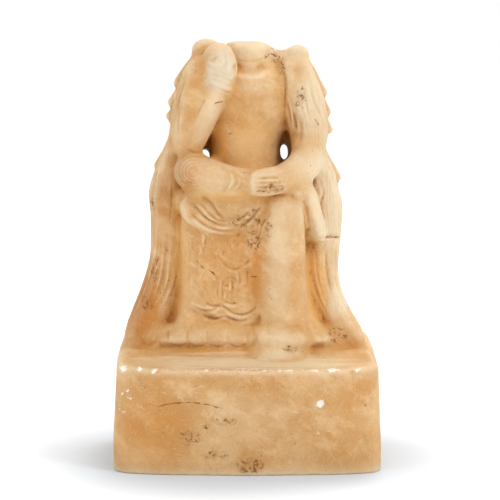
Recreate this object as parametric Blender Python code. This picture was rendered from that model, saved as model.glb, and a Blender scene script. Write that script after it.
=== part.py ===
"""A headless marble bodhisattva, seated in thought on a draped stool above a lotus plinth and a block.

The whole work is carved from one stone. The figure faces -Y, and +X is on the viewer's right, so the
figure's right side is at -X. Shapes are given in units of a four-hundredth of the height, which is a
millimetre at this size. Each mass of the carving is a closed form of its own. The masses are united,
the two openings beside the waist are cut through, and the surface is then carved with folds, petals,
fingers and toes.
"""
import math

import bmesh
import bpy
import numpy as np
from mathutils import Matrix, Vector

# Driving dimensions, in metres
HEIGHT = 0.400
UNIT = HEIGHT / 400.0

# Driving dimensions, in units
BLOCK_HALF_WIDTH = 126.4
BLOCK_TOP_HALF_WIDTH = 122.6
BLOCK_HALF_DEPTH = 98.0
BLOCK_FRONT_HEIGHT = 98.5
BLOCK_BOW = 12.0
SHELF = 109.0
SHELF_FRONT = -50.0
PLINTH_HALF_DEPTH = 62.0
PLINTH_Y = 12.0
PLINTH_TOP = 131.0
PETAL_WIDTH = 18.8
GRAIN = 1.8
TRIANGLES = 9400

STONE_COLOUR = (0.72, 0.46, 0.24, 1.0)
STONE_ROUGHNESS = 0.45


def clear_scene():
    for old in list(bpy.data.objects):
        bpy.data.objects.remove(old, do_unlink=True)


# Helpers that make closed forms

def between(a, b, c, d, t):
    """The Catmull-Rom value at t between b and c."""
    a, b, c, d = (np.asarray(v, float) for v in (a, b, c, d))
    return 0.5 * (2 * b + (c - a) * t + (2 * a - 5 * b + 4 * c - d) * t ** 2 + (3 * b - a - 3 * c + d) * t ** 3)


def smooth_row(rows, steps):
    """The rows with steps smooth ones for each gap."""
    padded = [rows[0]] + list(rows) + [rows[-1]]
    out = []
    for i in range(1, len(padded) - 2):
        for k in range(steps):
            out.append(between(*padded[i - 1:i + 3], k / steps))
    out.append(np.asarray(rows[-1], float))
    return out


def ring(bm, centre, across, deep, width, depth, sides, square):
    """One cross-section: an ellipse, or a squarer curve where square is over 2."""
    made = bmesh.ops.create_circle(bm, segments=sides, radius=1.0)
    for v in made["verts"]:
        for axis in (0, 1):
            v.co[axis] = math.copysign(abs(v.co[axis]) ** (2.0 / square), v.co[axis])
    frame = Matrix((across * width, deep * depth, across.cross(deep))).transposed().to_4x4()
    bmesh.ops.transform(bm, matrix=Matrix.Translation(centre) @ frame, verts=made["verts"])
    return list(dict.fromkeys(e for v in made["verts"] for e in v.link_edges))


def rounded_end(centre, size, way, outwards):
    """The shrinking cross-sections that close a limb's end in a dome."""
    rows = []
    for angle in (30, 55, 75, 87):
        turn = math.radians(angle)
        spot = centre + way * outwards * min(size) * math.sin(turn)
        rows.append((spot, (size[0] * math.cos(turn), size[1] * math.cos(turn)), way))
    return rows if outwards > 0 else rows[::-1]


def limb(bm, stations, side=(1, 0, 0), sides=24, square=2.0, steps=4, level=False):
    """A closed tube through stations (x, y, z, half width, half depth); side is the width's way.

    A level form has flat ends and level cross-sections, and the others end in domes.
    """
    rows = smooth_row(stations, steps)
    centres = [Vector(r[:3]) for r in rows]
    last = len(rows) - 1
    sections = []
    for i, row in enumerate(rows):
        way = (centres[min(i + 1, last)] - centres[max(i - 1, 0)]).normalized()
        sections.append((centres[i], (row[3], row[4]), Vector((0, 0, 1)) if level else way))
    if not level:
        sections = rounded_end(*sections[0], -1) + sections + rounded_end(*sections[-1], 1)
    previous = None
    for centre, (width, depth), way in sections:
        across = Vector(side)
        across = (across - way * across.dot(way)).normalized()
        edges = ring(bm, centre, across, way.cross(across), width, depth, sides, square)
        if previous is None:
            bmesh.ops.edgeloop_fill(bm, edges=edges)
        else:
            bmesh.ops.bridge_loops(bm, edges=previous + edges)
        previous = edges
    bmesh.ops.edgeloop_fill(bm, edges=previous)


def column(bm, stations, square=2.4, sides=40, steps=3):
    """A closed upright form through level sections (x, y, z, half width, half depth)."""
    limb(bm, stations, sides=sides, square=square, steps=steps, level=True)


def ball(bm, centre, half, lean=0.0, nod=0.0):
    """An ellipsoid, leaned in the front view and nodded in the side view."""
    turn = Matrix.Rotation(math.radians(lean), 4, "Y") @ Matrix.Rotation(math.radians(nod), 4, "X")
    size = Matrix.Diagonal((*half, 1.0))
    place = Matrix.Translation(centre) @ turn @ size
    bmesh.ops.create_uvsphere(bm, u_segments=28, v_segments=18, radius=1.0, matrix=place)


def slab(bm, outline, front, back):
    """An outline drawn in the front view, (x, z), given a thickness from front to back."""
    face = bm.faces.new([bm.verts.new((x, front, z)) for x, z in outline])
    grown = bmesh.ops.extrude_face_region(bm, geom=[face])["geom"]
    moved = [g for g in grown if isinstance(g, bmesh.types.BMVert)]
    bmesh.ops.translate(bm, verts=moved, vec=(0.0, back - front, 0.0))


# The masses of the carving, from the ground up

def block(bm):
    """The rough block: narrower above, bowed in front, its top sloping to the front edge."""
    shape = bmesh.new()
    wide = BLOCK_HALF_WIDTH
    rows = [(0, 0, -6, wide - 1.5, BLOCK_HALF_DEPTH - 0.6), (0, 0, 3, wide - 0.6, BLOCK_HALF_DEPTH - 0.2),
            (-0.4, 0, 12, wide - 0.4, BLOCK_HALF_DEPTH), (-0.3, 0, 50, wide - 1.5, BLOCK_HALF_DEPTH),
            (0, 0, BLOCK_FRONT_HEIGHT, BLOCK_TOP_HALF_WIDTH, BLOCK_HALF_DEPTH),
            (0, 0, SHELF + 4, BLOCK_TOP_HALF_WIDTH - 0.5, BLOCK_HALF_DEPTH)]
    column(shape, rows, square=11.0, sides=96, steps=1)
    rise = SHELF - BLOCK_FRONT_HEIGHT
    run = SHELF_FRONT + BLOCK_HALF_DEPTH
    planes = [((0, SHELF_FRONT, SHELF), (0, -rise, run)), ((0, 0, SHELF), (0, 0, 1)), ((0, 80, SHELF), (0, 4, 14)),
              ((116.5, 0, 107), (0.5, 0, 0.87)), ((120, 0, 100), (0.87, 0, 0.5)), ((-119.5, 0, 107), (-0.6, 0, 0.8))]
    for point, normal in planes:
        everything = shape.verts[:] + shape.edges[:] + shape.faces[:]
        cut = bmesh.ops.bisect_plane(shape, geom=everything, plane_co=point, plane_no=normal, clear_outer=True)
        rim = [g for g in cut["geom_cut"] if isinstance(g, bmesh.types.BMEdge)]
        bmesh.ops.edgeloop_fill(shape, edges=rim)
    for v in shape.verts:
        if v.co.y < 0:
            v.co.y += BLOCK_BOW * (v.co.x / BLOCK_TOP_HALF_WIDTH) ** 2 * (-v.co.y / BLOCK_HALF_DEPTH)
    joined = bpy.data.meshes.new("block")
    shape.to_mesh(joined)
    shape.free()
    bm.from_mesh(joined)
    bpy.data.meshes.remove(joined)


def plinth(bm):
    """The low oval lotus plinth, as wide as the block and worn lower on its right, and the left foot's pad."""
    y, deep = PLINTH_Y, PLINTH_HALF_DEPTH
    column(bm, [(-1, y, SHELF - 6, 120, deep + 8), (-1.4, y, SHELF - 1, 119, deep + 5),
                (-2, y, SHELF + 1, 118, deep + 2.5), (-3, y, SHELF + 4, 115, deep),
                (-4, y, SHELF + 9, 113.4, deep - 0.6), (-4.8, y, PLINTH_TOP - 7, 109.6, deep - 2),
                (-6, y, PLINTH_TOP - 2, 103.5, deep - 6), (-6, y, PLINTH_TOP + 1, 94, deep - 13)],
           square=2.5, sides=64)
    column(bm, [(29, -32, SHELF - 14, 37, 36), (29, -32, SHELF + 3, 35.5, 34.5), (29, -32, SHELF + 7, 32, 31)],
           square=2.0)


def stool(bm):
    """The draped stool: a drum that spreads at the foot, recessed under the skirt's hem."""
    column(bm, [(-3, 5, 116, 87, 58), (-1, 5, 126, 77, 55), (-1, 5, 132, 70, 51), (-2, 5, 139, 65, 50),
                (-3, 5, 147, 63, 50), (-3.5, 5, 160, 61, 50), (-4, 5, 174, 60, 49.5), (-4, 6, 192, 59.6, 50),
                (-4, 6, 214, 59.6, 50), (-4.5, 7, 236, 59, 50), (-5.5, 9, 254, 56, 49), (-5, 10, 266, 50, 42)],
           square=6.0, sides=56)


def torso(bm):
    """The bare body from the lap to the broken neck."""
    column(bm, [(1, 10, 250, 48, 42), (-1.5, 7, 272, 37, 39), (-2.2, 6, 288, 34, 37.5), (-2.2, 6, 303, 34, 37.5),
                (-1.5, 6, 312, 37, 38), (-1, 6, 322, 43, 38), (0, 6, 338, 47, 38.5), (2, 7, 354, 49, 38),
                (3, 11, 367, 46, 33), (4, 12, 375, 36, 27), (3, 12, 382, 27, 23.5), (1.5, 11, 389, 25, 21.5),
                (-1, 10, 394.6, 20, 17), (-2, 10, 397, 14, 11)], square=2.2)
    ball(bm, (-17, -15, 340), (25, 18.5, 25))
    ball(bm, (17, -15, 340), (23, 18.5, 25))


def shoulders(bm):
    """The shoulder ornaments: thick round studs that hold the scarf."""
    ball(bm, (-38.6, -1, 389.2), (15.2, 13, 11.6))
    ball(bm, (-41, 2, 374), (17, 20, 13))
    ball(bm, (46.8, -1, 384.4), (12.0, 12, 10.6))
    ball(bm, (43, 2, 373), (15, 20, 13))
    ball(bm, (31, 4, 383), (12, 12, 7))
    ball(bm, (-21, 4, 383), (12, 12, 7.5))


SCARF_BACK = 32.0


def scarf(bm, sections):
    """One hanging side of the scarf, through (inner x, outer x, z, front y) from the top down."""
    rows = []
    for inner, outer, z, front in sections:
        half = abs(outer - inner) / 2
        rows.append(((inner + outer) / 2, (front + SCARF_BACK) / 2, z, half, (SCARF_BACK - front) / 2))
    column(bm, rows, square=4.5, sides=48)


def scarves(bm):
    """Both sides of the scarf, spreading as they reach the plinth."""
    scarf(bm, [(-24, -51, 383, -12), (-26, -61, 366, -25), (-28, -68, 346, -32), (-34, -72.2, 326, -35),
               (-42, -74.8, 308, -35), (-52, -80, 296, -32), (-58, -85.6, 282, -30), (-62, -91.8, 264, -28),
               (-63, -93.8, 252, -27), (-63, -92.1, 238, -26), (-62.6, -92.2, 200, -25), (-64, -96.2, 180, -25),
               (-68, -103.8, 157, -26), (-76, -112.4, 136, -28), (-82, -117, 120, -29), (-84, -118.4, 110, -29)])
    scarf(bm, [(30, 53, 383, -10), (32, 62, 364, -22), (34, 66.8, 346, -28), (42, 72, 326, -30),
               (50, 72, 308, -29), (56, 76, 290, -25), (60, 83.6, 273, -24), (60, 84.8, 262, -25),
               (60, 88, 252, -26), (60, 90.4, 240, -27), (60, 89.2, 224, -27), (60, 88.2, 212, -26),
               (60.6, 87.2, 200, -24), (61, 86.2, 180, -24), (63.6, 89.3, 162, -24), (67.5, 95, 147, -25),
               (73, 102.9, 133, -26), (80, 109.4, 121, -28), (85, 113.4, 110, -28)])


ZIGZAG_LEFT = [(-38, 388), (-53.3, 382.3), (-61.6, 372.4), (-68.6, 361.6), (-70.8, 356.8), (-67.4, 353.0),
               (-76.8, 338.8), (-71.8, 333.8), (-79.0, 326.0), (-73.2, 320.2), (-75.8, 301.5), (-83.1, 289.8),
               (-90.0, 279.2), (-86.0, 276.0), (-80, 262), (-60, 262), (-40, 300)]
ZIGZAG_RIGHT = [(44, 390), (57.3, 383), (58.9, 378.5), (65.2, 369.9), (69.0, 360.9), (76.0, 348.8),
                (73.0, 344.0), (75.0, 338.9), (80.0, 330.6), (75.6, 324.0), (81.8, 312.2), (72.0, 307.0),
                (75.0, 293.5), (81.6, 281.6), (90.0, 267.4), (84.6, 261.8), (80, 250), (60, 250), (44, 300)]


def zigzags(bm):
    """The folded outer edges of the scarf, whose pleats stick out as teeth behind the arms."""
    slab(bm, ZIGZAG_LEFT, 2.0, 17.0)
    slab(bm, ZIGZAG_RIGHT, 2.0, 17.0)


def web(bm):
    """The stone left standing between the body, the stool and the scarves, and the cape on the back."""
    slab(bm, [(-94, 112), (92, 112), (82, 140), (72, 200), (74, 258), (-78, 258), (-76, 200), (-84, 140)],
         -19.0, 26.0)
    slab(bm, [(70, 250), (66, 300), (58, 366), (-56, 366), (-66, 300), (-74, 250)], 2.0, 28.0)
    column(bm, [(2, 24, 383, 36, 14), (1, 25, 367, 52, 18), (0, 25, 346, 60, 19), (0, 25, 322, 64, 18),
                (0, 24, 300, 66, 15), (-1, 23, 280, 72, 14), (-2, 22, 262, 78, 13)], square=2.4)


def right_arm(bm):
    """The raised arm: its elbow rests on the knee, and the broken hand is level with the lost cheek."""
    limb(bm, [(-44, -15, 365, 16.5, 22), (-47.5, -20, 352, 18.5, 23), (-50.5, -26, 334, 18.5, 23),
              (-53.5, -30, 316, 18, 21), (-55, -30, 304, 15, 17)], square=3.2)
    limb(bm, [(-51.5, -34, 307, 13, 15), (-46.8, -38, 319, 14, 15), (-39.5, -38, 333, 13.8, 14.5),
              (-32, -35, 346, 12.8, 13.5), (-26.4, -32, 357, 12.4, 13)])
    limb(bm, [(-26, -32, 356, 12.5, 13), (-26, -31, 364, 15, 14.5), (-26, -29, 374, 17.4, 15.5),
              (-27, -27, 383.5, 15.8, 15)])


def left_arm(bm):
    """The lowered arm, its hand laid over the ankle of the crossed leg."""
    limb(bm, [(47, -4, 370, 14, 18), (50.5, -10, 354, 17.5, 20), (55, -14, 338, 18.5, 20), (61, -18, 320, 15.8, 18.5),
              (61.2, -20, 303, 13.4, 17)], square=3.0)
    limb(bm, [(57, -23, 298, 18, 16), (55, -30, 287, 18, 15), (45.5, -43, 277.8, 16, 14),
              (32, -56, 273, 13.6, 12)], side=(0, 0, 1))
    limb(bm, [(31, -58, 272.4, 13.2, 11), (20, -65, 271, 14, 10), (7, -66, 269, 12.6, 9.5)], side=(0, 0, 1))


def crossed_leg(bm):
    """The right leg: thigh, bent knee, shin laid across the lap and foot beyond the other knee."""
    limb(bm, [(-22, 8, 262, 20, 20), (-38, -14, 271, 19, 18), (-48, -34, 276, 18, 17)], side=(0, 0, 1))
    ball(bm, (-50.5, -40, 277.7), (19, 19, 19))
    limb(bm, [(-47, -42, 276.8, 18.4, 17.5), (-32, -49, 272, 18, 16.5), (-15, -54, 268.8, 16, 15),
              (2, -56, 269.4, 13.4, 13), (20, -54, 270.5, 11.8, 12)], side=(0, 0, 1))
    limb(bm, [(24, -48, 270, 11, 12), (38, -45, 268, 11.5, 13.5), (50, -40, 263, 10.5, 14),
              (58, -34, 252, 8.5, 15), (62, -31, 239, 7.8, 16), (65.5, -29, 227, 7.8, 16),
              (68, -27, 217, 7, 14)], side=(0.9, 0, 0.45))
    limb(bm, [(50, -29, 256, 9, 14), (54.5, -27, 243, 9.5, 14), (58.5, -25, 230, 9.5, 14), (61, -23, 219, 8.5, 13)],
         side=(0.9, 0, 0.45))


def standing_leg(bm):
    """The left leg: thigh, knee, shin and the foot on its pad."""
    limb(bm, [(28, 6, 248, 21, 19), (32, -20, 245, 20.5, 19), (34, -36, 238, 19.5, 17)])
    limb(bm, [(33, -45, 240, 20, 18), (31.5, -45, 226, 22.5, 19), (30.5, -44, 205, 24, 18.5),
              (30.5, -43, 178, 24.5, 18), (32, -42, 154, 24.5, 17.5), (33, -41, 137, 22, 17)], square=2.1)
    limb(bm, [(6, -25, 236, 14, 22), (7, -29, 215, 14, 21), (8, -30, 190, 13, 20), (12, -29, 168, 11, 17)])
    column(bm, [(50, -18, 124, 27, 27), (47, -18, 133, 22, 28), (44, -18, 145, 18, 28), (41, -17, 163, 16, 28),
                (39.5, -16, 185, 15.5, 27), (38, -14, 207, 13, 26)], square=3.6)
    limb(bm, [(32, -22, 127, 23, 15), (32, -38, 125.5, 25, 16), (31.6, -53, 119.5, 26, 13)], square=2.4)


LAP_FOLDS = [
    ([(-60, 246), (-57, 236), (-49, 230), (-39, 225.5), (-28, 223.5), (-16, 225), (-6, 231)],
     4.8, -44.2),
    ([(-56, 254), (-51, 246), (-45, 239), (-38, 233), (-30, 228.5), (-20, 226.5), (-8, 229)], 4.2, -45.4),
    ([(-48, 258), (-39, 254), (-33.5, 248), (-28, 240.5), (-21, 235), (-11, 232)],
     3.8, -47.4),
]


def lap(bm):
    """Skirt cloth heaped between the thighs and hung in swags over the front of the stool."""
    limb(bm, [(-53, -24, 249, 15, 20), (-34, -33, 247, 17, 20), (-14, -36, 247, 18, 20), (8, -36, 249, 18, 20),
              (26, -31, 251, 16, 18)], side=(0, 0, 1))
    for path, thick, y in LAP_FOLDS:
        limb(bm, [(x, y, z, thick, thick) for x, z in path], side=(0, 1, 0), sides=12)
    ball(bm, (0, -20, 262), (48, 33, 21))
    ball(bm, (10, -28, 232), (24, 25, 26))
    ball(bm, (57, -8, 238), (20, 21, 32))


def sleeves(bm):
    """The scarf drawn over the upper arms, which closes the hollows behind them."""
    ball(bm, (-40, -14, 364), (18, 19, 22), lean=-10)
    ball(bm, (-58, -14, 324), (14, 24, 30), lean=6)
    limb(bm, [(42, -8, 371, 10, 15), (44, -12, 356, 12, 18), (45.5, -13, 340, 12.5, 19), (48.5, -12, 325, 11.5, 18),
              (51.5, -12, 311, 11.5, 17), (52.5, -12, 300, 11.5, 17)], square=3.4)
    ball(bm, (58, -10, 330), (16, 21, 26))


SOFT_MASSES = (stool, torso, shoulders, scarves, web, right_arm, left_arm, crossed_leg, standing_leg, lap, sleeves)
CRISP_MASSES = (block, plinth, zigzags)


# Cuts through the stone

def openings(bm):
    """The two openings beside the waist, which slope down with the way they were drilled."""
    for x, z, half_width, half_height in ((-41.0, 289.0, 5.2, 9.2), (34.8, 294.5, 4.0, 9.2)):
        rows = [(x, -30, z + 5.0, half_width, half_height), (x, 60, z - 10.0, half_width, half_height)]
        limb(bm, rows, steps=1)


# Uniting, cutting and carving

def write_mesh(bm, mesh):
    """Writes the faces in a settled order, each from its lowest point, so that every run makes the same stone."""
    bm.verts.index_update()
    faces = []
    for face in bm.faces:
        corners = [v.index for v in face.verts]
        first = corners.index(min(corners))
        faces.append(corners[first:] + corners[:first])
    mesh.clear_geometry()
    mesh.from_pydata([tuple(v.co) for v in bm.verts], [], sorted(faces))
    mesh.update()


def bmesh_object(name, makers):
    bm = bmesh.new()
    for make in makers:
        make(bm)
    bmesh.ops.recalc_face_normals(bm, faces=bm.faces)
    mesh = bpy.data.meshes.new(name)
    write_mesh(bm, mesh)
    bm.free()
    made = bpy.data.objects.new(name, mesh)
    bpy.context.collection.objects.link(made)
    return made


def apply_modifiers(obj):
    """Gives the object the mesh that its modifiers make."""
    ready = bpy.context.evaluated_depsgraph_get()
    result = bpy.data.meshes.new_from_object(obj.evaluated_get(ready))
    old = obj.data
    obj.modifiers.clear()
    obj.data = result
    bpy.data.meshes.remove(old)


def remesh(obj, size):
    voxels = obj.modifiers.new("unite", "REMESH")
    voxels.mode = "VOXEL"
    voxels.voxel_size = size
    apply_modifiers(obj)


def soften(obj, times, factor=0.5):
    """Wears the surface: every point moves towards the middle of its neighbours."""
    bm = bmesh.new()
    bm.from_mesh(obj.data)
    for _ in range(times):
        bmesh.ops.smooth_vert(bm, verts=bm.verts, factor=factor, use_axis_x=True, use_axis_y=True, use_axis_z=True)
    bm.to_mesh(obj.data)
    bm.free()


def cut_openings(obj):
    cutter = bmesh_object("openings", [openings])
    cut = obj.modifiers.new("openings", "BOOLEAN")
    cut.operation = "DIFFERENCE"
    cut.solver = "EXACT"
    cut.object = cutter
    apply_modifiers(obj)
    bpy.data.objects.remove(cutter, do_unlink=True)


def flatten_base(obj):
    """Cuts the stone flat where it stands."""
    bm = bmesh.new()
    bm.from_mesh(obj.data)
    everything = bm.verts[:] + bm.edges[:] + bm.faces[:]
    cut = bmesh.ops.bisect_plane(bm, geom=everything, plane_co=(0, 0, 0), plane_no=(0, 0, 1), clear_inner=True)
    rim = [g for g in cut["geom_cut"] if isinstance(g, bmesh.types.BMEdge)]
    bmesh.ops.edgeloop_fill(bm, edges=rim)
    bmesh.ops.recalc_face_normals(bm, faces=bm.faces)
    bm.to_mesh(obj.data)
    bm.free()


# Carving: the surface is pressed in or raised where a stroke passes

class Surface:
    """The points of a mesh and the way each one faces."""

    def __init__(self, mesh):
        self.mesh = mesh
        count = len(mesh.vertices)
        flat = np.empty(count * 3)
        mesh.vertices.foreach_get("co", flat)
        self.points = flat.reshape(-1, 3).copy()
        mesh.vertices.foreach_get("normal", flat)
        self.facing = flat.reshape(-1, 3).copy()
        self.move = np.zeros(count)

    def finish(self):
        """Moves each point along its own facing."""
        moved = self.points + self.facing * self.move[:, None]
        self.mesh.vertices.foreach_set("co", moved.ravel())
        self.mesh.update()


def ease(value):
    """0 below 0, 1 above 1 and smooth between."""
    value = np.clip(value, 0.0, 1.0)
    return value * value * (3.0 - 2.0 * value)


def path_distance(across, up, path):
    """Each point's distance to a path, and how far along the path it is, from 0 to 1."""
    best = np.full(across.shape, 1e9)
    along = np.zeros(across.shape)
    lengths = [math.dist(a, b) for a, b in zip(path, path[1:])]
    total = sum(lengths)
    done = 0.0
    for (x0, z0), (x1, z1), length in zip(path, path[1:], lengths):
        dx, dz = (x1 - x0) / length, (z1 - z0) / length
        run = np.clip((across - x0) * dx + (up - z0) * dz, 0.0, length)
        away = np.hypot(across - x0 - run * dx, up - z0 - run * dz)
        nearer = away < best
        best[nearer] = away[nearer]
        along[nearer] = (done + run[nearer]) / total
        done += length
    return best, along


FRONT, BACK = -1.0, 1.0


def stroke(surface, path, half_width, rise, view=FRONT, near=-200.0, far=200.0, taper=0.12):
    """Raises, or with a rise below 0 presses in, the surface along a path drawn in the front or back view."""
    points, facing = surface.points, surface.facing
    smooth = [tuple(p) for p in smooth_row(path, 4)] if len(path) > 2 else [tuple(p) for p in path]
    xs = [p[0] for p in smooth]
    zs = [p[1] for p in smooth]
    close = ((points[:, 0] > min(xs) - half_width) & (points[:, 0] < max(xs) + half_width)
             & (points[:, 2] > min(zs) - half_width) & (points[:, 2] < max(zs) + half_width)
             & (points[:, 1] > near) & (points[:, 1] < far) & (facing[:, 1] * view > 0.1))
    away, along = path_distance(points[close, 0], points[close, 2], smooth)
    shape = ease(1.0 - away / half_width)
    if taper > 0:
        shape *= ease(along / taper) * ease((1.0 - along) / taper)
    shape *= ease((facing[close, 1] * view - 0.1) / 0.4)
    surface.move[close] += rise * shape


def add_masses(obj, makers):
    """Joins more masses to the object's mesh."""
    bm = bmesh.new()
    for make in makers:
        make(bm)
    bmesh.ops.recalc_face_normals(bm, faces=bm.faces)
    bm.from_mesh(obj.data)
    write_mesh(bm, obj.data)
    bm.free()


# Strokes on the front: (path of x, z), half width, rise, nearest y, farthest y

COLLAR_EDGE = [(-16, 351), (-7, 344), (0.5, 338), (5, 343.5), (11, 346.5), (23, 346.5), (35, 346)]
HEM = [(-62, 150), (-52, 150.5), (-38, 148), (-27, 140.5), (-13, 141.5), (-4, 135), (7, 138.5), (12, 148)]
FRONT_STROKES = [
    # the broken neck over its groove, and the flat collar with its pointed lower edge
    ([(-13, 379), (-7, 373.5), (3, 371.5), (12, 374), (17, 379)], 8.5, -3.2, -60, 20),
    (COLLAR_EDGE, 5.5, -0.35, -60, 20),
    # the edge of the scarf beside the breast, and its fanned folds above the opening
    ([(35, 372), (35, 350), (34.5, 333), (36, 316)], 3.2, -1.5, -60, 20),
    ([(43, 335), (44, 322), (42, 308)], 2.5, -1.4, -60, 20),
    ([(50, 333), (50.5, 318), (49, 304)], 2.5, -1.4, -60, 20),
    # the wrist of the raised arm: two bracelet rings
    ([(-37, 361.5), (-28, 359), (-13.5, 354)], 3.0, 0.9, -80, -20),
    ([(-35, 368), (-24, 365), (-14, 360)], 3.0, -0.8, -80, -20),
    ([(-39, 356), (-29, 352.5), (-17, 348)], 3.0, -0.7, -80, -20),
    # the fingers laid over the ankle
    ([(4, 274.5), (16, 275.5), (30, 275)], 2.2, -0.9, -100, -50),
    ([(3.5, 270), (16, 270.6), (32, 270.4)], 2.2, -1.0, -100, -50),
    ([(5, 265.5), (17, 266), (33, 266.2)], 2.2, -1.0, -100, -50),
    ([(8, 261.5), (18, 261.7), (32, 262.2)], 2.2, -0.8, -100, -50),
    ([(2, 281), (1, 272), (3, 262)], 3.0, -1.0, -100, -50),
    # arcs of cloth round the crossed shin, and the knee's rings
    ([(-18, 284), (-12, 277), (-11, 269), (-16, 261)], 3.0, -0.8, -100, -40),
    ([(-26, 287), (-20, 279), (-20, 268), (-25, 259)], 3.0, -0.6, -100, -40),
    ([(-64, 271), (-57, 269), (-47, 270)], 2.5, -0.7, -100, -20),
    # the foot of the crossed leg: hollow inside, a ridge along its outer edge
    ([(51, 254), (53.5, 244), (55, 233), (57, 221)], 5.0, -1.0, -80, 10),
    ([(64, 213), (72, 214), (79, 215.5), (88, 214)], 3.0, -2.0, -80, 10),
    # swags of the skirt over the lap, running up to the left knee
    ([(-52.7, 250.4), (-47.6, 242.2), (-41.1, 235.6), (-34.5, 230.4), (-27.5, 226)], 4.0, -1.3, -70, -20),
    ([(-45, 257), (-36, 250), (-31, 242.5), (-24, 235), (-14, 229.5)], 4.0, -1.3, -70, -20),
    ([(20, 254), (16.5, 243), (14.5, 228), (13, 208)], 6.5, -1.6, -70, -20),
    ([(19, 236), (16.5, 222), (14, 208), (12, 190), (11.5, 165), (12, 145)], 8.0, -0.8, -70, -20),
    # the skirt's front: two ridges, the looped fold and the scrolled pleat below it
    ([(-41.7, 221), (-41.7, 206)], 3.0, 1.0, -60, -20),
    ([(-14.5, 222), (-14.5, 199)], 3.0, 1.0, -60, -20),
    ([(-29, 209), (-26, 201), (-21, 195), (-14, 192.5), (-6, 190), (0, 189), (6, 194)], 3.4, 0.9, -60, -20),
    ([(-24, 181), (-25, 172), (-20, 168), (-16.5, 172), (-19, 176)], 2.6, 0.8, -60, -20),
    ([(-5, 181), (-4, 172), (-9, 168), (-12.5, 172), (-10, 176)], 2.6, 0.8, -60, -20),
    ([(-14.6, 183), (-14.6, 168), (-16, 158), (-14.6, 151)], 2.6, -0.8, -60, -20),
    ([(-24, 164), (-21, 157), (-24, 152)], 2.6, -0.7, -60, -20),
    # the two rings of the hem round the ankle, and the toes
    ([(15, 139), (32, 137.5), (50, 139)], 2.2, -0.5, -80, -20),
    ([(14, 133.5), (32, 132), (52, 133.5)], 2.2, -0.5, -80, -20),
    ([(20, 124), (19, 112)], 2.4, -0.9, -80, -40),
    ([(28, 124), (27.5, 110)], 2.4, -0.9, -80, -40),
    ([(36, 124), (36.5, 110)], 2.4, -0.9, -80, -40),
    ([(44, 124), (45, 111)], 2.4, -0.9, -80, -40),
    # the rounded end of the left-hand scarf on the plinth
    ([(-103, 131), (-102.5, 121), (-99, 114), (-92, 114), (-86, 120), (-85, 132)], 3.0, -1.2, -80, 10),
]


def carve_front(surface):
    for path, half_width, rise, near, far in FRONT_STROKES:
        stroke(surface, path, half_width, rise, FRONT, near, far)


def carve_scarf_folds(surface):
    """Long folds that follow the scarf's outer edge down to the plinth, in front and behind."""
    for side, levels in ((-1, (76, 81, 86.5)), (1, (73.5, 78.5, 83))):
        for level in levels:
            spread = (level - 68) / 25.0
            path = [(side * (level - 1), 240), (side * level, 225), (side * level, 200),
                    (side * (level + 2 + 4 * spread), 178), (side * (level + 7 + 9 * spread), 152),
                    (side * (level + 11 + 15 * spread), 134)]
            stroke(surface, path, 2.8, -0.9, FRONT, -60, 20, taper=0.35)
            stroke(surface, path, 3.0, -1.2, BACK, 0, 60)


def carve_scarf_sides(surface):
    """Long shallow folds down the scarf's outer sides."""
    x, y, z = surface.points.T
    on_side = (np.abs(surface.facing[:, 0]) > 0.6) & (np.abs(x) > 60) & (z > 134) & (z < 372) & (y > -30) & (y < 36)
    place = (y + 3.0 * np.sin(z / 31.0)) / 11.0
    groove = ease(1.0 - np.abs(place - np.round(place)) / 0.28)
    surface.move[on_side] -= (1.1 * groove * ease((z - 134.0) / 14.0))[on_side]


def carve_hem(surface):
    """Cuts back the stone under the skirt's wavy hem."""
    points, facing = surface.points, surface.facing
    x, y, z = points.T
    around = np.arctan2(y - 5.0, x)
    wave = 145.0 + 3.0 * np.sin(9.0 * around)
    front = np.interp(x, [p[0] for p in HEM], [p[1] for p in HEM])
    hem = np.where((y < 0) & (x < 12.0), front, wave)
    level = np.abs(facing[:, 2]) < 0.75
    on_stool = (z > 127) & (z < 160) & (y > -54) & level
    inside = ease((x + 57.0) / 7.0) * np.where(y < 0, ease((14.0 - x) / 4.0), ease((60.0 - x) / 7.0))
    under = ease((hem - z) / 3.0) * ease((z - 127.0) / 16.0)
    lip = ease(1.0 - np.abs(z - hem - 2.5) / 4.0)
    surface.move[on_stool] += (inside * (0.6 * lip - 2.0 * under))[on_stool]


def carve_petals(surface):
    """Rounded petals, all round the plinth, that hang over its foot."""
    points, facing = surface.points, surface.facing
    x, y, z = points[:, 0] + 4.0, points[:, 1] - PLINTH_Y, points[:, 2]
    turns = np.linspace(-math.pi, math.pi, 721)
    edge = np.stack([114.0 * np.cos(turns), 60.0 * np.sin(turns)], 1)
    run = np.concatenate([[0.0], np.cumsum(np.hypot(*np.diff(edge, axis=0).T))])
    petals = round(run[-1] / PETAL_WIDTH)
    place = np.interp(np.arctan2(y / 60.0, x / 114.0), turns, run) / run[-1] * petals
    off_centre = np.abs(place % 1.0 - 0.5) * 2.0
    radius = np.hypot(x / 114.0, y / 60.0)
    height = (z - SHELF - 2.0) / (PLINTH_TOP - SHELF - 2.0)
    on_plinth = (radius > 0.86) & (height > 0.0) & (height < 1.1) & (points[:, 1] > -60)
    foot = 0.15 + 0.35 * off_centre ** 3
    gap = ease((off_centre - 0.8) / 0.2) * ease((1.1 - height) / 0.4)
    under = ease((foot - height) / 0.2)
    swell = 0.45 * np.sqrt(np.clip(1.0 - off_centre ** 2, 0.0, 1.0)) * ease((height - foot) / 0.3)
    surface.move[on_plinth] += (swell - np.maximum(0.6 * gap, 0.4 * under))[on_plinth]


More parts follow.
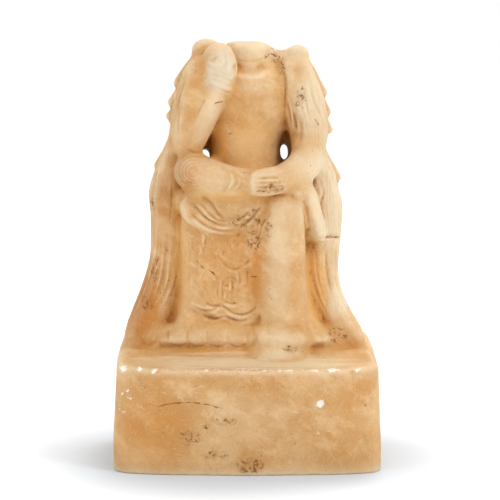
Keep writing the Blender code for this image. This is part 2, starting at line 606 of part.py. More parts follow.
def carve_back(surface):
    """The plainer back: looped folds of the scarf and straight folds of the skirt."""
    for drop in range(4):
        low = 352 - 15 * drop
        wide = 40 + 4 * drop
        path = [(-wide, low + 26), (-wide * 0.6, low + 9), (0, low), (wide * 0.6, low + 9), (wide, low + 26)]
        stroke(surface, path, 3.5, -1.6, BACK, 0, 80)
    for i in range(7):
        x = -45 + 14 * i
        stroke(surface, [(x, 256), (x * 1.03, 215), (x * 1.08, 178), (x * 1.15, 148)], 3.5, -1.5, BACK, 20, 80)


CARVINGS = (carve_front, carve_scarf_folds, carve_scarf_sides, carve_hem, carve_petals, carve_back)


def build():
    clear_scene()
    figure = bmesh_object("bodhisattva_torso", SOFT_MASSES)
    remesh(figure, GRAIN)
    soften(figure, 7)
    add_masses(figure, CRISP_MASSES)
    remesh(figure, GRAIN)
    cut_openings(figure)
    remesh(figure, GRAIN)
    soften(figure, 1)
    for carve in CARVINGS:
        surface = Surface(figure.data)
        carve(surface)
        surface.finish()
    flatten_base(figure)
    figure.data.transform(Matrix.Scale(UNIT, 4))
    thin = figure.modifiers.new("thin", "DECIMATE")
    thin.ratio = TRIANGLES / (2.0 * len(figure.data.polygons))
    apply_modifiers(figure)
    stone = bpy.data.materials.new("marble")
    stone.use_nodes = True
    shader = stone.node_tree.nodes["Principled BSDF"]
    shader.inputs["Base Color"].default_value = STONE_COLOUR
    shader.inputs["Roughness"].default_value = STONE_ROUGHNESS
    shader.inputs["Metallic"].default_value = 0.0
    figure.data.materials.clear()
    figure.data.materials.append(stone)
    return figure


build()
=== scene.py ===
# %% [markdown]
# # A headless marble figure, carved from one stone
# The object is a small temple carving: a seated figure on a draped stool, on a lotus plinth, on a rough
# block. It is one piece of honey-coloured marble, so the model has one piece too. The imported solid already
# has the figure's true outline and main folds. This script refines a copy of it, cuts the fine relief that
# a tool leaves on marble, and paints the stone: a honey ground, white chips and dirt, and painted light and
# shade, orange shade in the depths and pale highlights on the heights.

# %% Open the imported frame
import math

import bmesh
import bpy
import numpy as np
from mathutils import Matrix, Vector
from mathutils.kdtree import KDTree


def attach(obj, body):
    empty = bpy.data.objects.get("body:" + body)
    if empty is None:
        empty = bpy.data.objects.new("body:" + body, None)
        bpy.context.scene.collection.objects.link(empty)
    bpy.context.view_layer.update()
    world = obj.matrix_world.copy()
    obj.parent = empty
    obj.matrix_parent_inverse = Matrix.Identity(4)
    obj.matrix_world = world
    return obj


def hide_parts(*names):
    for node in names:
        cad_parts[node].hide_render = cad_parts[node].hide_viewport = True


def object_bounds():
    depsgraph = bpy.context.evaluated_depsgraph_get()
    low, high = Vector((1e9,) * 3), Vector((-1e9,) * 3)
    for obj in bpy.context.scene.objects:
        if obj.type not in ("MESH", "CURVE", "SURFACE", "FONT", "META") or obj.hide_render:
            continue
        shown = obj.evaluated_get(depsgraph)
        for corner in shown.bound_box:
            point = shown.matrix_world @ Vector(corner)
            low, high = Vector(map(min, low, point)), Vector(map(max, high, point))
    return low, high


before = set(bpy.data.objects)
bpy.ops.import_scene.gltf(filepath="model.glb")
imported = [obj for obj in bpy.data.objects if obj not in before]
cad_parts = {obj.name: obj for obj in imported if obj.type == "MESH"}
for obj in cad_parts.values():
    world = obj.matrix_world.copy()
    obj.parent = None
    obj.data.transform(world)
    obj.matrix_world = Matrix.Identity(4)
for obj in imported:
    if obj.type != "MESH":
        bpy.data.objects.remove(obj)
CAD_LOW, CAD_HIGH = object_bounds()
HEIGHT = CAD_HIGH.z - CAD_LOW.z
UNIT = HEIGHT / 400.0
print("the solid is", round(HEIGHT * 1000), "mm high, so one unit is", round(UNIT * 1000, 3), "mm")

# %% [markdown]
# ## The camera
# The photograph was taken with a long lens, a little above the figure and looking slightly down. How far away
# the camera stood is a guess. The block's top shelf shows as a thin band, which fits the camera's height only
# together with the shelf's guessed depth. The lens then follows from the figure's height in the picture.

# %% Place the camera
CAMERA_PLACE = (0.0023, -2.70, 0.533)
CAMERA_TILT = 7.05
CAMERA_LENS = 205.69
SENSOR_WIDTH = 36.0

camera_data = bpy.data.cameras.new("camera")
camera_data.lens = CAMERA_LENS
camera_data.sensor_width = SENSOR_WIDTH
camera = bpy.data.objects.new("camera", camera_data)
camera.location = CAMERA_PLACE
camera.rotation_euler = (math.radians(90.0 - CAMERA_TILT), 0.0, 0.0)
bpy.context.scene.collection.objects.link(camera)
bpy.context.scene.camera = camera
print("camera", CAMERA_LENS, "mm lens at", CAMERA_PLACE)

# %% [markdown]
# ## The stone, refined
# A sculptor roughs out a figure and then works the surface with finer and finer tools. Here the solid is the
# rough figure. Its copy is merged into one skin and rebuilt by a voxel remesh, which gives small even faces
# everywhere. A few rounds of smoothing then melt the flat facets away. Each round pulls the points in and
# pushes them out again, so the figure keeps its size.

# %% Copy the solid and rebuild its skin
GRAIN = 1.15
MELT_ROUNDS = 22
POLISH_ROUNDS = 18
PULL_IN = 0.6
PUSH_OUT = -0.605


def copy_of_solid(name):
    bm = bmesh.new()
    bm.from_mesh(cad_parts["bodhisattva_torso"].data)
    bmesh.ops.remove_doubles(bm, verts=bm.verts, dist=1e-6)
    mesh = bpy.data.meshes.new(name)
    bm.to_mesh(mesh)
    bm.free()
    made = bpy.data.objects.new(name, mesh)
    bpy.context.scene.collection.objects.link(made)
    return made


def apply_modifiers(obj):
    """Gives the object the mesh that its modifiers make."""
    ready = bpy.context.evaluated_depsgraph_get()
    result = bpy.data.meshes.new_from_object(obj.evaluated_get(ready))
    old = obj.data
    obj.modifiers.clear()
    obj.data = result
    bpy.data.meshes.remove(old)


def remesh(obj, size):
    skin = obj.modifiers.new("skin", "REMESH")
    skin.mode = "VOXEL"
    skin.voxel_size = size
    apply_modifiers(obj)


def melt_facets(obj, rounds, share):
    """Smooths in pairs: the first half of a pair pulls the points in and the second pushes them out."""
    group = obj.vertex_groups.new(name="melt")
    for v in obj.data.vertices:
        group.add([v.index], share(v.co / UNIT), "REPLACE")
    for _ in range(rounds):
        for factor in (PULL_IN, PUSH_OUT):
            smooth = obj.modifiers.new("melt", "SMOOTH")
            smooth.factor = factor
            smooth.iterations = 1
            smooth.vertex_group = group.name
    apply_modifiers(obj)
    obj.vertex_groups.clear()


def melt_share(place):
    """The block keeps its edges and the scarf keeps its teeth; the rest melts fully."""
    if place.z < 112.0:
        return 0.25
    return 0.35 if abs(place.x) > 66.0 and place.z > 262.0 else 1.0


def polish(obj, rounds, share):
    """Rubs the smooth places down, as a sculptor does with sand."""
    group = obj.vertex_groups.new(name="polish")
    for v in obj.data.vertices:
        group.add([v.index], share(v.co / UNIT), "REPLACE")
    rub = obj.modifiers.new("polish", "SMOOTH")
    rub.factor = 0.5
    rub.iterations = rounds
    rub.vertex_group = group.name
    apply_modifiers(obj)
    obj.vertex_groups.clear()


def polish_share(place):
    """Full on the bare chest and the shin, less on the drapery, little on the block and on the teeth."""
    if place.z < 132.0:
        return 0.1 if place.z < 109.5 else 0.8
    if abs(place.x) > 64.0 and place.z > 262.0 and abs(place.y - 9.0) < 12.0:
        return 0.0
    if place.z > 378.0:
        return 0.3
    on_chest = abs(place.x) < 40.0 and place.z > 280.0
    on_shin = 8.0 < place.x < 56.0 and place.z < 256.0 and place.y < -40.0
    return 0.9 if on_chest or on_shin else 0.4


figure = copy_of_solid("carved_marble")
remesh(figure, GRAIN * UNIT)
melt_facets(figure, MELT_ROUNDS, melt_share)
polish(figure, POLISH_ROUNDS, polish_share)
print("the refined skin has", len(figure.data.polygons), "faces")

# %% [markdown]
# ## The tools of the relief
# All the fine carving is done in the way that a chisel does it: a stroke runs along a path that is drawn in
# the front view, and presses the surface in, or leaves it proud. Places are in units of a four-hundredth of
# the height, x to the viewer's right and z up. A stroke only touches points that face the viewer and that
# lie between two depths, so it can't cut through to the back.

# %% Tools: points, paths and strokes
def point_values(mesh, name):
    values = np.empty(len(mesh.vertices) * 3)
    mesh.vertices.foreach_get(name, values)
    return values.reshape(-1, 3)


def ease(value):
    """0 below 0, 1 above 1 and smooth between."""
    value = np.clip(value, 0.0, 1.0)
    return value * value * (3.0 - 2.0 * value)


def smooth_path(path, steps=4):
    """The path with Catmull-Rom points between its corners."""
    if len(path) < 3:
        return [tuple(p) for p in path]
    rows = np.asarray([path[0], *path, path[-1]], float)
    out = []
    for a, b, c, d in zip(rows, rows[1:], rows[2:], rows[3:]):
        for t in np.arange(steps) / steps:
            out.append(tuple(0.5 * (2 * b + (c - a) * t + (2 * a - 5 * b + 4 * c - d) * t ** 2
                                    + (3 * b - a - 3 * c + d) * t ** 3)))
    return out + [tuple(rows[-1])]


def path_distance(across, up, path):
    """Each point's distance to a path, and how far along the path it is, from 0 to 1."""
    best = np.full(across.shape, 1e9)
    along = np.zeros(across.shape)
    lengths = [math.dist(a, b) for a, b in zip(path, path[1:])]
    done = 0.0
    for (x0, z0), (x1, z1), length in zip(path, path[1:], lengths):
        dx, dz = (x1 - x0) / length, (z1 - z0) / length
        run = np.clip((across - x0) * dx + (up - z0) * dz, 0.0, length)
        away = np.hypot(across - x0 - run * dx, up - z0 - run * dz)
        nearer = away < best
        best[nearer] = away[nearer]
        along[nearer] = (done + run[nearer]) / sum(lengths)
        done += length
    return best, along


class Surface:
    """The points of the figure, in units, the way each one faces, and how far each is to move."""

    def __init__(self, obj):
        self.mesh = obj.data
        self.points = point_values(obj.data, "co") / UNIT
        self.facing = point_values(obj.data, "normal")
        self.move = np.zeros(len(self.points))

    def stroke(self, path, half_width, rise, view=-1.0, near=-200.0, far=200.0, taper=0.15):
        """Raises, or with a rise below 0 presses in, the points along a path; a view of 1 is from behind."""
        path = smooth_path(path)
        low = np.min(path, axis=0) - half_width
        high = np.max(path, axis=0) + half_width
        x, y, z = self.points.T
        facing = self.facing[:, 1] * view
        close = ((x > low[0]) & (x < high[0]) & (z > low[1]) & (z < high[1])
                 & (y > near) & (y < far) & (facing > 0.1))
        away, along = path_distance(x[close], z[close], path)
        amount = ease(1.0 - away / half_width) * ease((facing[close] - 0.1) / 0.35)
        if taper > 0:
            amount = amount * ease(along / taper) * ease((1.0 - along) / taper)
        self.move[close] += rise * amount

    def strokes(self, paths, half_width, rise, **limits):
        for path in paths:
            self.stroke(path, half_width, rise, **limits)

    def dent(self, centre, radius, rise):
        """A round hollow, or a bump, about a point in space."""
        away = np.linalg.norm(self.points - np.asarray(centre, float), axis=1)
        self.move += rise * ease(1.0 - away / radius)

    def finish(self, title):
        moved = self.points + self.facing * self.move[:, None]
        self.mesh.vertices.foreach_set("co", (moved * UNIT).ravel())
        self.mesh.update()
        print(title, "moved", int(np.count_nonzero(self.move)), "points, at most",
              round(float(np.abs(self.move).max()), 2), "units")


# %% [markdown]
# ## Places read from the photograph
# Long folds are easiest to follow on an enlarged part of the photograph. Their points were read there,
# in pixels of the enlargement, and are kept like that. The camera turns each of them into a place on the
# figure, once the depth of the surface there is known.

# %% Tool: from the enlargement to the figure
PHOTO_MIDDLE = 250.0
FOCAL_PIXELS = CAMERA_LENS / SENSOR_WIDTH * 2.0 * PHOTO_MIDDLE
ENLARGED_CORNER = (130.0, 150.0)
ENLARGED_BY = 4.545


def on_figure(paths, depth):
    """The front-view places, in units, of paths read on the enlargement, where the surface lies at that y."""
    tilt = math.radians(CAMERA_TILT)
    reach = depth * UNIT - CAMERA_PLACE[1]
    placed = []
    for path in paths:
        places = []
        for across, down in path:
            column = ENLARGED_CORNER[0] + across / ENLARGED_BY - PHOTO_MIDDLE
            row = ENLARGED_CORNER[1] + down / ENLARGED_BY - PHOTO_MIDDLE
            drop = reach * math.tan(tilt + math.atan(row / FOCAL_PIXELS))
            away = reach * math.cos(tilt) + drop * math.sin(tilt)
            x = CAMERA_PLACE[0] + column * away / FOCAL_PIXELS
            places.append((x / UNIT, (CAMERA_PLACE[2] - drop) / UNIT))
        placed.append(places)
    return placed


middle_place = on_figure([[(500, 500)]], 0.0)[0][0]
print("the enlargement's point 500, 500 is at", [round(v, 1) for v in middle_place], "on the figure")

# %% [markdown]
# ## The broken neck and the chest
# The head was lost long ago. The break is rough and pitted, and a shallow groove still marks where the neck
# met the collar. The breast has a flat collar with a pointed lower edge, and two softly swelling halves.

# %% Carve the neck and the chest
NECK_PITS = 60

surface = Surface(figure)
surface.stroke([(-13, 378), (-7, 374.5), (3, 373), (13, 375)], 4.5, -0.45)
surface.stroke([(-13, 369), (-3, 365.5), (8, 365), (19, 368)], 3.2, 0.5)
surface.stroke([(-14, 383), (-6, 380), (6, 379.5), (17, 383)], 2.0, -0.6)
surface.stroke([(-18, 352), (-9, 345), (0.5, 337.5), (6, 343), (12, 347), (20, 349)], 2.4, -0.3, taper=0.35)
surface.stroke([(35, 372), (35.2, 352), (34.8, 334)], 1.6, -0.5)
rng = np.random.default_rng(7)
for _ in range(NECK_PITS):
    pit = (rng.uniform(-18, 32), rng.uniform(-4, 24), rng.uniform(384, 397))
    surface.dent(pit, rng.uniform(1.6, 3.6), -rng.uniform(0.3, 0.9))
surface.finish("neck and chest")

# %% [markdown]
# ## The arms
# The raised hand is broken off at the palm, and its fresh inner stone is creamy. Rings circle the wrist. The
# other hand lies on the ankle, with its fingers side by side. Pleats of the sleeves fall beside the chest.

# %% Carve the arms and the hands
ON_FRONT = {"near": -70, "far": -20}
ON_SLEEVES = {"near": -70, "far": 10}
WRIST_RINGS = [[(-35.7, 365.4), (-26, 362.5), (-14.4, 357.1)], [(-37.5, 359), (-27, 356), (-15.3, 350.6)],
               [(-34.5, 369), (-25, 367), (-13.5, 361.5)]]
FINGER_LINES = [[(5, 274.5), (18, 275.3), (32, 275)], [(4, 270.4), (18, 270.8), (37, 270.6)],
                [(5, 266.6), (18, 266.6), (37, 266.8)], [(8, 262.6), (20, 262.8), (36, 263.4)]]
SLEEVE_FOLDS = [[(-37, 352), (-43, 340), (-49, 328)], [(-60, 350), (-64, 330), (-66, 308)],
                [(-56, 372), (-63, 348), (-68, 322)], [(-58, 300), (-48, 296.5), (-40, 297)],
                [(38, 352), (44, 336), (50, 316)], [(40, 338), (44, 326), (47, 312)],
                [(36, 345), (39, 330), (41, 316)], [(58, 372), (60, 350), (69, 328), (73, 318)],
                [(50, 366), (55, 340), (60, 316)]]
INNER_PLEATS = [[(x, 345 - i), (x + 3 + i, 330), (x + 5 + 1.5 * i, 312)]
                for i, x in enumerate((36.5, 39.5, 43, 47))]
OUTER_PLEATS = [[(-62 - 2.5 * i, 372 - 9 * i), (-64 - 2 * i, 345 - 6 * i), (-66 - 2 * i, 318 - 6 * i)]
                for i in range(4)]
BREAK_RIM = [(-37.5, 381), (-32, 377.5), (-25, 378), (-20, 383)]
BREAK_LINES = [[(-39, 379), (-32, 373.5), (-23, 370), (-15, 365.5)], [(-22, 388), (-20, 381), (-23, 374)]]

surface = Surface(figure)
surface.strokes(WRIST_RINGS, 1.9, -0.75, **ON_FRONT)
surface.strokes(FINGER_LINES, 1.7, -0.7, near=-100, far=-50, taper=0.35)
surface.strokes(SLEEVE_FOLDS, 2.0, -0.75, taper=0.4, **ON_SLEEVES)
surface.strokes(INNER_PLEATS, 1.3, -0.65, taper=0.3, **ON_SLEEVES)
surface.strokes(OUTER_PLEATS, 1.4, -0.45, taper=0.4, **ON_SLEEVES)
surface.dent((-30.4, -44, 386), 6.5, -1.9)
surface.dent((-17, -44, 374), 8.0, 1.2)
surface.stroke(BREAK_RIM, 2.0, 0.7, **ON_FRONT)
surface.strokes(BREAK_LINES, 1.8, -0.7, **ON_FRONT)
surface.finish("arms")

# %% [markdown]
# ## The crossed leg
# The skirt is stretched round the knee, so its fine lines make rings there, and arcs of cloth cross the shin.

# %% Carve the knee and the shin
KNEE = (-50.0, 279.4)
KNEE_RINGS = (4.5, 7.6, 10.8, 13.6)
SHIN_ARCS = [[(-20.8, 284), (-12, 277), (-10.7, 270), (-18.1, 262)],
             [(-26, 286), (-18, 279), (-17, 270), (-24, 260)],
             [(-15, 282), (-7, 275), (-6, 268), (-12, 261)]]
FOOT_RIDGE = [(45, 264), (49, 252), (52, 238), (57, 222)]
FOOT_LINES = [[(64, 213), (74, 214.5), (88, 213)], [(56, 262), (64, 256), (69, 244), (73, 228)]]


def circle(centre, radius, start, stop, steps=10):
    turns = np.radians(np.linspace(start, stop, steps))
    return [(centre[0] + radius * math.cos(a), centre[1] + radius * math.sin(a)) for a in turns]


surface = Surface(figure)
for radius in KNEE_RINGS:
    surface.stroke(circle(KNEE, radius, 60, 330), 1.3, -0.5, far=-20)
surface.strokes(SHIN_ARCS, 1.5, -0.5, near=-100, far=-40)
surface.stroke(FOOT_RIDGE, 6.0, 1.3, near=-80, far=10)
surface.strokes(FOOT_LINES, 2.2, -0.7, near=-80, far=10)
surface.finish("crossed leg")

# %% [markdown]
# ## The lap and the skirt
# The skirt hangs over the stool in a few swags, and its front has a looped fold, a scrolled pleat like two
# opposed curls, and a wavy hem. A fold in worn stone is a groove with a soft ridge beside it, so one helper
# makes both. The lists below are points of the enlargement.

# %% Read the folds of the lap and the skirt
LAP_DEPTH = -48
SKIRT_DEPTH = -46
HEM_DEPTH = -50
LEFT_LAP = [[(250, 245), (270, 275), (310, 320), (360, 352), (420, 368), (480, 366), (514, 349)],
            [(262, 225), (300, 262), (335, 300), (380, 328), (430, 342), (490, 340)],
            [(290, 222), (330, 250), (360, 290), (400, 318), (450, 328)],
            [(355, 222), (380, 255), (400, 290), (430, 310)]]
RIGHT_LAP = [[(600, 245), (570, 290), (530, 330), (500, 352)],
             [(620, 300), (600, 340), (590, 380), (570, 430)],
             [(545, 270), (520, 300), (480, 325)]]
LOOPED_FOLD = [[(388, 415), (395, 450), (405, 490), (430, 520), (460, 540), (490, 540), (520, 520),
                (545, 500), (573, 482)]]
SKIRT_LINES = [[(270, 500), (300, 525), (325, 545)], [(325, 435), (335, 460), (330, 480)],
               [(450, 430), (460, 460), (462, 480)], [(285, 400), (282, 440), (286, 470)],
               [(490, 545), (500, 580), (498, 620)], [(420, 575), (419, 640), (421, 690)],
               [(442, 640), (440, 690)], [(400, 625), (397, 655), (405, 670)], [(462, 590), (468, 640)],
               [(359, 555), (388, 574), (403, 603)], [(340, 371), (344, 410), (340, 448)]]
HEM_LINES = [[(280, 705), (310, 725), (345, 735), (380, 728), (410, 712), (440, 725), (470, 745), (520, 750),
              (560, 730), (580, 700)],
             [(320, 745), (350, 765), (390, 770), (430, 760), (470, 775), (510, 780), (550, 765)],
             [(345, 700), (375, 712), (410, 708)], [(425, 690), (455, 700), (490, 700)]]
print("the lap has", len(LEFT_LAP + RIGHT_LAP), "folds and the skirt", len(SKIRT_LINES), "lines over its hem")

# %% Carve the skirt
RIDGE_UNDER = (0.0, 2.8)
RIDGE_UNDER_THIN = (0.0, 2.6)
RIDGE_LEFT = (1.9, 0.0)
WORN_MARKS = 70
CURLS = ((-20, 173, 1.1, 1), (-13.4, 175, 0.9, -1))
CURL_RADII = np.linspace(0.8, 3.4, 12)
CURL_TURNS = np.linspace(0, 3.2 * math.pi, 12)
PETAL_EDGES = (-74.5, -56, -37.1, -18.3, 0.5)
PETAL_ENDS = [[(x, 129), (x - 0.6, 123), (x, 118)] for x in PETAL_EDGES]
PETAL_TIPS = [[(x, 119), (x + 4, 115.4), (x + 9.3, 114), (x + 14.6, 115.4), (x + 18.6, 119)]
              for x in PETAL_EDGES[:4]]
LONG_PLEATS = [[(x, 218), (x - 1, 190), (x - 2, 160)] for x in (-54, -47, -30, 1)]
LEG_HOLLOWS = [[(12, 224), (9, 200), (8, 170), (11, 146)], [(22, 214), (19, 190), (18, 160)]]


def folds(paths, depth, ridge_drop, half_width=1.6, **limits):
    """Each fold is a fine groove with a soft ridge beside it, moved to the left and down by ridge_drop."""
    across, down = ridge_drop
    ridges = [[(x - across, z - down) for x, z in path] for path in paths]
    surface.strokes(paths, half_width, -depth, **limits)
    surface.strokes(ridges, 1.5 * half_width, 0.6 * depth, **limits)


surface = Surface(figure)
folds(on_figure(LEFT_LAP, LAP_DEPTH), 0.85, RIDGE_UNDER, 2.1, near=-75, far=-20, taper=0.35)
folds(on_figure(RIGHT_LAP, LAP_DEPTH), 1.1, RIDGE_UNDER, 1.9, near=-75, far=-20, taper=0.2)
folds(on_figure(LOOPED_FOLD, SKIRT_DEPTH), 0.5, RIDGE_UNDER_THIN, taper=0.25, **ON_FRONT)
folds(on_figure(SKIRT_LINES, SKIRT_DEPTH), 0.6, RIDGE_LEFT, taper=0.35, **ON_FRONT)
folds(on_figure(HEM_LINES, HEM_DEPTH), 0.75, RIDGE_UNDER_THIN, 1.8, taper=0.12, **ON_FRONT)
rng = np.random.default_rng(5)
for _ in range(WORN_MARKS):
    x, z, turn = rng.uniform(-52, 6), rng.uniform(150, 222), rng.uniform(0, math.pi)
    reach = rng.uniform(1.5, 4.0)
    aside, along = reach * math.cos(turn), reach * math.sin(turn)
    worn = [(x - aside, z - along), (x + aside, z + along)]
    surface.stroke(worn, rng.uniform(1.5, 2.6), rng.uniform(-0.5, 0.55), taper=0.4, **ON_FRONT)
for middle, height, growth, turn in CURLS:
    curl = [(middle - turn * growth * r * math.cos(a), height + growth * r * math.sin(a))
            for r, a in zip(CURL_RADII, CURL_TURNS)]
    surface.stroke(curl, 1.3, -0.65, taper=0.25, **ON_FRONT)
surface.strokes(PETAL_ENDS, 1.4, -0.7, **ON_FRONT)
surface.strokes(PETAL_TIPS, 1.4, -0.5, **ON_FRONT)
surface.strokes(LONG_PLEATS, 2.6, -0.35, **ON_FRONT)
surface.strokes(LEG_HOLLOWS, 5.0, -0.4, near=-75, far=-20, taper=0.3)
surface.finish("skirt")

# %% [markdown]
# ## The scarves
# A long scarf falls from each shoulder to the plinth. Its flat folds run down as bundles of fine lines, and
# its outer edge is pleated into teeth beside the arms. The few deep folds are points of the enlargement, and
# the many fine ones between them come from a rule.

# %% Carve the scarf's folds
SCARF_DEPTH = -27
SCARF_FOLDS = [[(185, 60), (190, 200), (180, 330), (185, 430)],
               [(130, 370), (125, 450), (105, 540), (70, 640)],
               [(160, 370), (160, 460), (150, 560), (125, 650), (85, 740)],
               [(185, 450), (185, 540), (170, 620), (130, 700), (95, 760)],
               [(215, 500), (205, 600), (170, 690), (130, 760)],
               [(100, 390), (95, 470), (80, 550), (45, 650)],
               [(865, 405), (848, 460), (850, 560), (870, 640), (900, 720), (930, 790)],
               [(830, 560), (845, 640), (880, 720), (920, 800)],
               [(850, 100), (870, 160), (880, 200), (870, 240), (880, 270)],
               [(900, 420), (890, 500), (900, 600), (930, 700)]]
FINE_LINES = ((-1, np.arange(69, 92, 2.2), -0.4), (1, np.arange(70, 86, 3.0), -0.25))
ON_SCARVES = {"near": -60, "far": 20, "taper": 0.4}


def scarf_line(side, level):
    """A line down the scarf: level is its distance from the middle where the scarf is straight."""
    spread = (level - 68.0) / 25.0
    rows = [(-3, 262), (0, 235), (0, 205),
            (2 + 4 * spread, 178), (7 + 9 * spread, 152), (11 + 15 * spread, 134)]
    return [(side * (level + out), z) for out, z in rows]


surface = Surface(figure)
folds(on_figure(SCARF_FOLDS, SCARF_DEPTH), 0.55, (2.2, 0.0), **ON_SCARVES)
for side, levels, depth in FINE_LINES:
    for i, level in enumerate(levels):
        surface.stroke(scarf_line(side, level)[i % 3:], 1.3, depth, **ON_SCARVES)
surface.finish("scarves")

# %% [markdown]
# ## Wear
# Handling and weather have left the surface slightly uneven, more on the block, which was only dressed with
# a point. Sums of soft waves at a fine and a broad size do this, and chips are broken out of the front edge
# of the block's top.

# %% Wear the surface
BLOCK_FRONT = -98.0
BLOCK_BOW = 12.0
BLOCK_HALF_WIDTH = 122.6
BLOCK_TOP = 98.0
EDGE_CHIPS = 70
FINE_WAVE = 9.0
BROAD_WAVE = 30.0


def soft_noise(points, size, seed):
    """Smooth waves of about that size, between -1 and 1."""
    rng = np.random.default_rng(seed)
    total = np.zeros(len(points))
    for _ in range(9):
        way = rng.normal(size=3)
        way /= np.linalg.norm(way)
        total += np.sin(points @ way * (2 * math.pi / (size * rng.uniform(0.7, 1.4))) + rng.uniform(0, 6.3))
    return total / 5.0


surface = Surface(figure)
above_base = ease(surface.points[:, 2] / 6.0)
on_block = ease((104.0 - surface.points[:, 2]) / 10.0)
surface.move += above_base * (0.10 + 0.04 * on_block) * soft_noise(surface.points, FINE_WAVE, 1)
surface.move += above_base * (0.14 + 0.16 * on_block) * soft_noise(surface.points, BROAD_WAVE, 2)
rng = np.random.default_rng(11)
for _ in range(EDGE_CHIPS):
    x = rng.uniform(-118, 118)
    edge_y = BLOCK_FRONT + BLOCK_BOW * (x / BLOCK_HALF_WIDTH) ** 2
    chip = (x, edge_y + rng.uniform(-1, 2), BLOCK_TOP + rng.uniform(-1.5, 1.5))
    surface.dent(chip, rng.uniform(1.5, 4.0), -rng.uniform(0.3, 1.0))
surface.finish("wear")

# %% [markdown]
# ## Where the stone is hollow, high or dirty
# The colour follows the shape with painted light and shade. Light sinks into marble and comes back orange
# from deep folds, so the hollows get painted orange and brown shade, and the high places painted pale
# highlights.
# Dirt also gathers in the fine hollows. So each point gets a number for how hollow its neighbourhood is: how
# far it lies under the same surface after a lot of smoothing. A few rounds find the fine hollows, and many
# rounds find the broad ones.

# %% Measure the hollows
FINE_ROUNDS = 8
BROAD_ROUNDS = 200


def neighbour_blur(values, edges, count, times):
    """Each value moved towards the mean of its neighbours, several times."""
    a, b = edges.T
    for _ in range(times):
        columns = [np.bincount(a, values[b, k], len(values)) + np.bincount(b, values[a, k], len(values))
                   for k in range(values.shape[1])]
        total = np.stack(columns, axis=1)
        values = 0.5 * values + 0.5 * total / count[:, None]
    return values


dense = figure.data
edges = np.empty(len(dense.edges) * 2, int)
dense.edges.foreach_get("vertices", edges)
edges = edges.reshape(-1, 2)
count = np.maximum(np.bincount(edges.ravel(), minlength=len(dense.vertices)), 1)
dense_points = point_values(dense, "co") / UNIT
dense_facing = point_values(dense, "normal")


def hollow_depth(times):
    shift = neighbour_blur(dense_points, edges, count, times) - dense_points
    depth = np.einsum("ij,ij->i", shift, dense_facing)
    return neighbour_blur(depth[:, None], edges, count, 2)[:, 0]


fine_hollow = hollow_depth(FINE_ROUNDS)
broad_hollow = hollow_depth(BROAD_ROUNDS)
for title, depths in (("fine", fine_hollow), ("broad", broad_hollow)):
    print(title, "hollows range over", round(float(np.ptp(depths)), 2), "units")

# %% [markdown]
# ## The mesh, thinned
# The even small faces were needed for carving. A decimate step now joins the faces where the stone is flat,
# and keeps them where the relief is, so the piece stays light. Each point that is left takes the hollow
# numbers of the nearest old point.

# %% Thin the mesh
TRIANGLES = 190000
FINE_RANGE = 0.5
BROAD_RANGE = 6.0

nearest = KDTree(len(dense_points))
for i, point in enumerate(dense_points):
    nearest.insert(point, i)
nearest.balance()
thin = figure.modifiers.new("thin", "DECIMATE")
thin.ratio = min(1.0, TRIANGLES / (2.0 * len(figure.data.polygons)))
apply_modifiers(figure)
figure.data.shade_smooth()
mesh = figure.data
points = point_values(mesh, "co") / UNIT
old = np.array([nearest.find(point)[1] for point in points])
print("the finished piece has", sum(len(p.vertices) - 2 for p in mesh.polygons), "triangles")


def store(name, values):
    attribute = mesh.attributes.new(name, "FLOAT", "POINT")
    attribute.data.foreach_set("value", np.asarray(values, np.float32))
    print(name, "runs from", round(float(values.min()), 2), "to", round(float(values.max()), 2))


store("fine_hollow", np.clip(fine_hollow[old] / FINE_RANGE, -1, 1))
store("broad_hollow", np.clip(broad_hollow[old] / BROAD_RANGE, -1, 1))

# %% [markdown]
# ## Known places
# Some places don't follow from the shape: dirt in a few folds; a tone that is partly the stone's own pale
# and orange tone and partly painted light and shade, paler where light falls and more orange on shaded sides
# and in recesses; a painted glow where light shines through the stone into shaded recesses; and painted dark
# shade on the walls of the two openings and on a few shaded sides. Each is a soft ellipsoid with a middle, a
# size and an amount. A tone above 0 is paler and one below 0 is more orange.

# %% Mark the dirty places, the tone, and the painted light and shade
def spot(centre, size):
    """1 in the middle of an ellipsoid about a place, fading to 0 a little outside it."""
    away = np.linalg.norm((points - np.array(centre, float)) / np.array(size, float), axis=1)
    return ease(1.3 - away)


DIRT_SPOTS = [((22, -72, 265), (15, 14, 6)), ((-6, -50, 233), (14, 14, 8)), ((7, -50, 236), (9, 14, 12)),
              ((6, -50, 214), (9, 12, 14)), ((26, 0, 384), (12, 30, 9)), ((33, -10, 372), (4, 20, 10)),
              ((50, -30, 346), (8, 16, 13)), ((84, -20, 122), (13, 34, 9)), ((40, -66, 114), (8, 12, 5)),
              ((-54.2, -97, 34.8), (14, 14, 8)), ((-21.7, -98, 51), (15, 14, 4)),
              ((-40, -97, 45), (5, 12, 5)),
              ((-30, -98, 19.7), (14, 14, 5)), ((2.3, -98, 9.4), (15, 14, 9)), ((-88, -24, 182), (4, 16, 14)),
              ((-94, -24, 152), (8, 16, 8)), ((20, -60, 226), (4, 14, 9)), ((58, -26, 206), (6, 24, 8)),
              ((80.7, -94, 92), (5, 10, 3)), ((-90, -22, 246), (4, 20, 9)), ((108, -92, 64), (4, 10, 4))]
